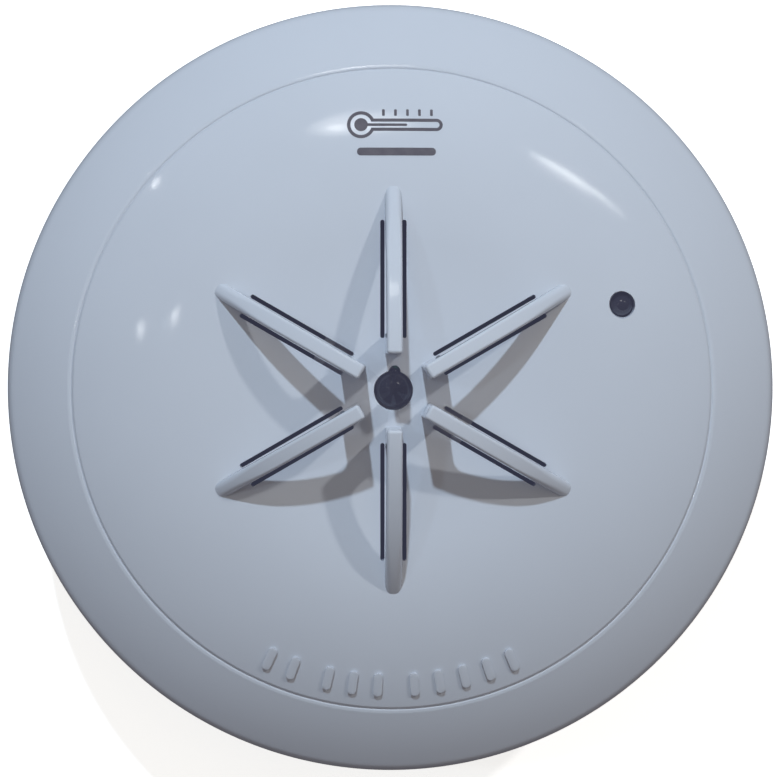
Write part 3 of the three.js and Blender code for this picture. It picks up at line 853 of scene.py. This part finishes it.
def make_board_pads():
    """Tinned rings round the four contact screws and solder fillets round the leads."""
    pads = []
    for number in (1, 2, 3, 4):
        ring = tube("pad", 3.1, 2.0, BOARD_TOP - 0.02, BOARD_TOP + 0.06, 0.02, 40)
        pads.append(moved(ring, over(centre_of(f"contact_screw_{number}"))))
    fillet = [(0, -0.1), (0.53, -0.1), (0.5, 0.02), (0.32, 0.1), (0.27, 0.26), (0, 0.28)]
    for node in ("thermistor_lead_1", "thermistor_lead_2", "indicator_leg_1", "indicator_leg_2"):
        joint = revolve("joint", fillet, 20)
        pads.append(moved(joint, over(centre_of(node), BOARD_TOP)))
    return joined("board_pads", pads)


def make_capacitor():
    """Electrolytic can: rolled neck at its foot, rounded shoulder and a crossed vent."""
    outline = [(0, 0), (2.95, 0), (3.12, 0.12), (3.15, 0.5), (3.15, 0.8), (2.95, 1.05), (2.95, 1.2)]
    outline += [(3.15, 1.5), (3.15, 6.5), (3.05, 6.85), (2.8, 7.0), (0, 7.0)]
    can = revolve("electrolytic_capacitor_can", outline, 56)
    vents = [rectangle(-2.0, 2.0, -0.12, 0.12), rectangle(-0.12, 0.12, -2.0, 2.0)]
    cutters = [prism("vent", vent, 6.8 - 0.01 * i, 8) for i, vent in enumerate(vents)]
    combine(can, "DIFFERENCE", cutters)
    return smooth(at_node(can, "electrolytic_capacitor"))


def make_chip():
    """Comparator in a flat package with an index notch."""
    half_length, half_width, height, notch_radius, notch_floor = 4.5, 2.0, 1.6, 0.6, 1.3
    outline = rectangle(-half_length, half_length, -half_width, half_width, 0.15)
    body = bevel(prism("comparator_chip_body", outline, 0, height), 0.12)
    notch = drill(notch_floor, height + 1, place(0, 0.2 - half_length), notch_radius, 24)
    combine(body, "DIFFERENCE", [notch])
    return smooth(at_node(body, "comparator_chip"))


def make_chip_pins():
    """Seven bent pins along each side of the comparator."""
    pitch, half = 1.27, 0.2
    pins = []
    for i in range(7):
        x = pitch * (i - 3)
        for side in (-1, 1):
            path = [(side * 1.9, 0.75), (side * 2.35, 0.75), (side * 2.6, -0.2), (side * 3.1, -0.2)]
            pins.append(along_x("pin", ribbon(path, 0.2, 0.08), x - half, x + half))
    return at_node(joined("comparator_chip_pins", pins), "comparator_chip")


def make_rectifier():
    """Bridge rectifier: a square-edged block with one corner cut off."""
    corners = [(-3.5, -2.5, 0.2), (3.5, -2.5, 0.2), (3.5, 2.5, 0.2), (-2.7, 2.5), (-3.5, 1.7)]
    body = bevel(prism("bridge_rectifier_body", rounded(corners), 0, 2.6), 0.15)
    return smooth(at_node(body, "bridge_rectifier"))


def make_transistor(number):
    """Transistor in a D-shaped package."""
    node = f"transistor_{number}"
    section = [(-2.2, -1, 0.2), (2.2, -1, 0.2), (2.2, 0.4, 0.3)]
    section += [(1.3, 1.9, 0.3), (-1.3, 1.9, 0.3), (-2.2, 0.4, 0.3)]
    body = bevel(prism(f"{node}_body", rounded(section, 3), 0, 4.8), 0.15, 2, 60)
    return smooth(at_node(moved(body, place(0, 0, -0.45)), node))


def make_ceramic(number):
    """Dipped disc capacitor, standing on edge."""
    node = f"ceramic_capacitor_{number}"
    outline = [(0, -1.0), (1.1, -0.97), (1.75, -0.8), (2.2, -0.45), (2.4, 0.0)]
    outline += [(2.2, 0.45), (1.75, 0.8), (1.1, 0.97), (0, 1.0)]
    return smooth(lying(revolve(f"{node}_disc", outline, 48), node))


def resistor_outline(thicker=0.0, start=-RESISTOR_HALF, stop=RESISTOR_HALF):
    """Radius along a resistor's body, whose ends bulge over the caps."""
    steps, waist, bulge_height, bulge_from, end_length = 24, 0.82, 0.12, 2.0, 0.35
    points = []
    for i in range(steps + 1):
        y = start + (stop - start) * i / steps
        bulge = bulge_height / (1 + math.exp((bulge_from - abs(y)) * 6))
        end = min((RESISTOR_HALF - abs(y)) / end_length, 1.0)
        points.append(((waist + bulge) * math.sqrt(max(1 - (1 - end) ** 2, 0.0)) + thicker, y))
    return points


def lying(piece, node):
    """Turns a piece laid out along Z to lie along Y at a CAD node's centre."""
    moved(piece, Matrix.Rotation(math.pi / 2, 4, "X"))
    return moved(piece, Matrix.Translation(centre_of(node) * MM))


def make_resistor(number):
    node = f"resistor_{number}"
    outline = [(0, -RESISTOR_HALF), *resistor_outline()[1:-1], (0, RESISTOR_HALF)]
    return smooth(lying(revolve(f"{node}_body", outline, 40), node))


def make_resistor_bands(number):
    """Three painted bands round a resistor."""
    node = f"resistor_{number}"
    width, paint, sunk = 0.5, 0.012, 0.05
    bands = []
    for start in (-2.2, -1.0, 0.1):
        ring = resistor_outline(paint, start, start + width)[::8]
        inner = resistor_outline(-sunk, start, start + width)[::8]
        bands.append(revolve("band", ring + inner[::-1], 40))
    return lying(joined(f"{node}_bands", bands), node)


# ---------------------------------------------------------------- materials


NOISE_LOW = 0.3
NOISE_HIGH = 0.7
GLOSS_SCALE = 420.0
RELIEF = 0.00005
COAT_ROUGHNESS = 0.12


def finish(
    name, color, roughness, metallic=0.0, specular=0.5, coat=0.0,
    mottle=0.03, cloud=90.0, uneven=0.05, bump=0.1, grain=2600.0,
):
    """A procedural surface: mottled colour, uneven gloss and a fine grain."""
    material = bpy.data.materials.new(name)
    material.use_nodes = True
    nodes, links = material.node_tree.nodes, material.node_tree.links
    shader = nodes["Principled BSDF"]
    shader.inputs["Metallic"].default_value = metallic
    shader.inputs["Specular IOR Level"].default_value = specular
    shader.inputs["Coat Weight"].default_value = coat
    shader.inputs["Coat Roughness"].default_value = COAT_ROUGHNESS
    where = nodes.new("ShaderNodeTexCoord").outputs["Object"]

    def noise(scale, detail):
        node = nodes.new("ShaderNodeTexNoise")
        node.inputs["Scale"].default_value = scale
        node.inputs["Detail"].default_value = detail
        links.new(where, node.inputs["Vector"])
        return node.outputs["Fac"]

    def between(value, low, high):
        node = nodes.new("ShaderNodeMapRange")
        node.inputs["From Min"].default_value = NOISE_LOW
        node.inputs["From Max"].default_value = NOISE_HIGH
        node.inputs["To Min"].default_value = low
        node.inputs["To Max"].default_value = high
        links.new(value, node.inputs["Value"])
        return node.outputs["Result"]

    mix = nodes.new("ShaderNodeMix")
    mix.data_type = "RGBA"
    mix.inputs["A"].default_value = (*[c * (1 - mottle) for c in color], 1)
    mix.inputs["B"].default_value = (*[min(c * (1 + mottle), 1) for c in color], 1)
    links.new(between(noise(cloud, 4.0), 0.0, 1.0), mix.inputs["Factor"])
    links.new(mix.outputs["Result"], shader.inputs["Base Color"])
    gloss = between(noise(GLOSS_SCALE, 3.0), roughness - uneven, roughness + uneven)
    links.new(gloss, shader.inputs["Roughness"])
    relief = nodes.new("ShaderNodeBump")
    relief.inputs["Strength"].default_value = bump
    relief.inputs["Distance"].default_value = RELIEF
    links.new(noise(grain, 5.0), relief.inputs["Height"])
    links.new(relief.outputs["Normal"], shader.inputs["Normal"])
    return material


WHITE = (0.56, 0.59, 0.64)
SHELL = dict(uneven=0.02, specular=0.4, mottle=0.012, bump=0.03)
cover_plastic = finish("cover_plastic", WHITE, 0.09, cloud=60.0, **SHELL)
ring_plastic = finish("ring_plastic", WHITE, 0.09, cloud=45.0, **SHELL)
rear_plastic = finish("rear_plastic", (0.52, 0.54, 0.56), 0.45, bump=0.25, grain=1800.0)
base_plastic = finish("base_plastic", (0.55, 0.57, 0.59), 0.42, bump=0.25, grain=1600.0)
holder_plastic = finish("holder_plastic", (0.62, 0.64, 0.66), 0.4, bump=0.15)
bead_epoxy = finish("bead_epoxy", (0.012, 0.012, 0.016), 0.14, mottle=0.25, cloud=500.0)
lens_smoked = finish("lens_smoked", (0.012, 0.012, 0.018), 0.1, coat=0.6, mottle=0.2, bump=0.03)
spacer_nylon = finish("spacer_nylon", (0.62, 0.62, 0.60), 0.5, mottle=0.04)
board_laminate = finish("board_laminate", (0.02, 0.10, 0.035), 0.35, mottle=0.2, cloud=400.0)
nickel_sheet = finish("nickel_sheet", (0.62, 0.61, 0.57), 0.28, metallic=1.0, mottle=0.08, bump=0.15)
terminal_brass = finish("terminal_brass", (0.70, 0.50, 0.22), 0.27, metallic=1.0, mottle=0.12)
screw_steel = finish("screw_steel", (0.52, 0.53, 0.55), 0.3, metallic=1.0, mottle=0.1)
tinned_wire = finish("tinned_wire", (0.68, 0.68, 0.67), 0.3, metallic=1.0, mottle=0.1, bump=0.2)
component_black = finish("component_black", (0.02, 0.02, 0.022), 0.45, mottle=0.2, bump=0.3)
ceramic_orange = finish("ceramic_orange", (0.48, 0.17, 0.035), 0.35, mottle=0.12, bump=0.2)
resistor_tan = finish("resistor_tan", (0.55, 0.42, 0.23), 0.4, mottle=0.06, bump=0.15)
band_paint = finish("band_paint", (0.16, 0.05, 0.03), 0.4, mottle=0.15)
mark_print = finish("mark_print", (0.095, 0.085, 0.088), 0.5, mottle=0.15, cloud=900.0)


# ---------------------------------------------------------------- assembly


def add(piece, material, slot, body, *nodes):
    """Finishes a piece: its material, the body it rides on and the CAD nodes it stands for. The slot
    argument is not used.
    """
    piece.data.materials.clear()
    piece.data.materials.append(material)
    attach(piece, body)
    if nodes:
        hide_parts(*nodes)


add(make_front_cover(), cover_plastic, "cover_plastic", "head", "front_cover")
add(make_mark(), mark_print, "mark_print", "head")
add(make_outer_ring(), ring_plastic, "cover_plastic", "head", "outer_ring")
add(make_bead(), bead_epoxy, "bead_epoxy", "head", "thermistor_bead")
add(make_holder(), holder_plastic, "holder_plastic", "head", "thermistor_holder")
add(make_lens(), lens_smoked, "lens_smoked", "head", "indicator_lens")
add(make_spacer(), spacer_nylon, "spacer_nylon", "head", "indicator_spacer")
for number in (1, 2):
    for node in (f"thermistor_lead_{number}", f"indicator_leg_{number}"):
        add(make_wire(node, f"{node}_wire"), tinned_wire, "tinned_wire", "head", node)

add(make_base_plate(), base_plastic, "base_plastic", "base", "base_plate")
add(make_rear_housing(), rear_plastic, "rear_plastic", "head", "rear_housing")
for number in (1, 2, 3, 4):
    add(make_clip(number), nickel_sheet, "nickel_sheet", "base", f"contact_clip_{number}")
    add(make_washer(number), nickel_sheet, "nickel_sheet", "base", f"clamp_washer_{number}")
    terminal = f"terminal_screw_{number}"
    screw = make_screw(terminal, 3.0, 1.5, 1.6, "slot", head_up=True)
    add(screw, terminal_brass, "terminal_brass", "base", terminal)
    add(make_blade(number), nickel_sheet, "nickel_sheet", "head", f"contact_blade_{number}")
    contact = f"contact_screw_{number}"
    screw = make_screw(contact, 2.6, 1.45, 1.5, "slot")
    add(screw, screw_steel, "screw_steel", "head", contact)
    add(make_nut(number), terminal_brass, "terminal_brass", "head", f"contact_nut_{number}")
    add(make_resistor(number), resistor_tan, "resistor_tan", "head", f"resistor_{number}")
    add(make_resistor_bands(number), band_paint, "resistor_tan", "head")
for number in (1, 2, 3):
    case = f"case_screw_{number}"
    screw = make_screw(case, 2.7, 1.4, 1.8, "cross")
    add(screw, screw_steel, "screw_steel", "head", case)
add(make_board(), board_laminate, "board_laminate", "head", "circuit_board")
add(make_board_pads(), tinned_wire, "tinned_wire", "head")
add(make_capacitor(), component_black, "component_black", "head", "electrolytic_capacitor")
add(make_chip(), component_black, "component_black", "head", "comparator_chip")
add(make_chip_pins(), tinned_wire, "tinned_wire", "head")
add(make_rectifier(), component_black, "component_black", "head", "bridge_rectifier")
for number in (1, 2):
    add(make_transistor(number), component_black, "component_black", "head", f"transistor_{number}")
    ceramic = f"ceramic_capacitor_{number}"
    add(make_ceramic(number), ceramic_orange, "ceramic_orange", "head", ceramic)


# ---------------------------------------------------------------- stage, light and camera


FLOOR_HALF = 3000
FLOOR_HEIGHT = -0.05  # just under the base, so that the two faces don't coincide
corners = [(-FLOOR_HALF, -FLOOR_HALF), (FLOOR_HALF, -FLOOR_HALF)]
corners += [(FLOOR_HALF, FLOOR_HALF), (-FLOOR_HALF, FLOOR_HALF)]
floor = mesh_object("floor", [(x, y, FLOOR_HEIGHT) for x, y in corners], [[0, 1, 2, 3]])
floor_paint = finish("floor_paint", (0.9, 0.9, 0.9), 0.7, specular=0.2, mottle=0.004, cloud=8.0, bump=0.0)
floor_shader = floor_paint.node_tree.nodes["Principled BSDF"]
floor_shader.inputs["Emission Color"].default_value = (1, 1, 1, 1)
floor_shader.inputs["Emission Strength"].default_value = 0.75
floor.visible_diffuse = False
floor.visible_glossy = False
floor.data.materials.append(floor_paint)


def direction(azimuth, tilt):
    """Unit vector at an azimuth from +X and a tilt from the vertical, in degrees."""
    a, t = math.radians(azimuth), math.radians(tilt)
    return Vector((math.sin(t) * math.cos(a), math.sin(t) * math.sin(a), math.cos(t)))


def facing(backward):
    """Rotation of a camera or lamp whose back points that way, with +Y upward in its picture."""
    back = backward.normalized()
    right = Vector((0, 1, 0)).cross(back).normalized()
    return Matrix((right, back.cross(right), back)).transposed().to_euler()


def add_light(
    name, azimuth, tilt, distance, size, power, color=(1, 1, 1), glossy=True, diffuse=True, roll=0
):
    """An area light aimed at the middle of the dome, turned in its own plane by the roll."""
    target = Vector((0, 0, DOME_TOP * MM))
    light = bpy.data.lights.new(name, "AREA")
    light.shape = "ELLIPSE"
    light.size, light.size_y = size
    light.energy = power
    light.color = color
    lamp = bpy.data.objects.new(name, light)
    way = direction(azimuth, tilt)
    lamp.location = target + way * distance
    turn = Matrix.Rotation(math.radians(roll), 3, "Z")
    lamp.rotation_euler = (facing(way).to_matrix() @ turn).to_euler()
    lamp.visible_glossy = glossy
    lamp.visible_diffuse = diffuse
    bpy.context.scene.collection.objects.link(lamp)


COLD = (0.67, 0.82, 1.0)
WARM = (1.0, 0.88, 0.70)
# Lights that shade the object and throw its shadows
add_light("key", 98, 43, 0.8, (0.026, 0.026), 4.4, COLD, glossy=False)
add_light("side", 42, 48.5, 0.9, (0.04, 0.04), 2.0, glossy=False)
add_light("left", 165, 33, 0.9, (0.05, 0.05), 0.5, COLD, glossy=False)
add_light("overhead", 95, 10, 1.0, (0.9, 0.9), 1.5, WARM, glossy=False)
# Lights that only show as highlights
add_light("key_gloss", 95.5, 43.5, 0.8, (0.22, 0.1), 0.26, diffuse=False)
add_light("key_glint", 98, 43, 0.8, (0.1, 0.03), 0.08, diffuse=False)
add_light("side_gloss", 46.5, 48.3, 0.9, (0.3, 0.02), 0.16, diffuse=False, roll=-36)
add_light("side_gloss_core", 49.5, 46.8, 0.9, (0.16, 0.05), 0.1, diffuse=False, roll=-36)
for i, (azimuth, tilt) in enumerate([(162.3, 30.3), (167.5, 40), (139, 58.8)]):
    add_light(f"left_gloss_{i + 1}", azimuth, tilt, 0.9, (0.02, 0.02), 0.035, diffuse=False)

world = bpy.data.worlds.new("studio")
world.use_nodes = True
world.node_tree.nodes["Background"].inputs["Color"].default_value = (*WARM, 1)
world.node_tree.nodes["Background"].inputs["Strength"].default_value = 0.07
bpy.context.scene.world = world

LIFTED_BLACK = (0.03, 0.032, 0.055)
view = bpy.context.scene.view_settings
view.view_transform = "Standard"
view.look = "None"
view.use_curve_mapping = True
for channel, black in zip(view.curve_mapping.curves, LIFTED_BLACK):
    channel.points[0].location = (0.0, black)
view.curve_mapping.update()

EYE = Vector((-4.0, 3.8, 241.3)) * MM
AIM = Vector((-0.02, 0.05, 21.3)) * MM
camera_data = bpy.data.cameras.new("camera")
camera_data.sensor_width = 36.0
camera_data.lens = 77.3
camera_data.clip_start = 0.01
camera = bpy.data.objects.new("camera", camera_data)
camera.location = EYE
camera.rotation_euler = facing(EYE - AIM)
bpy.context.scene.collection.objects.link(camera)
bpy.context.scene.camera = camera
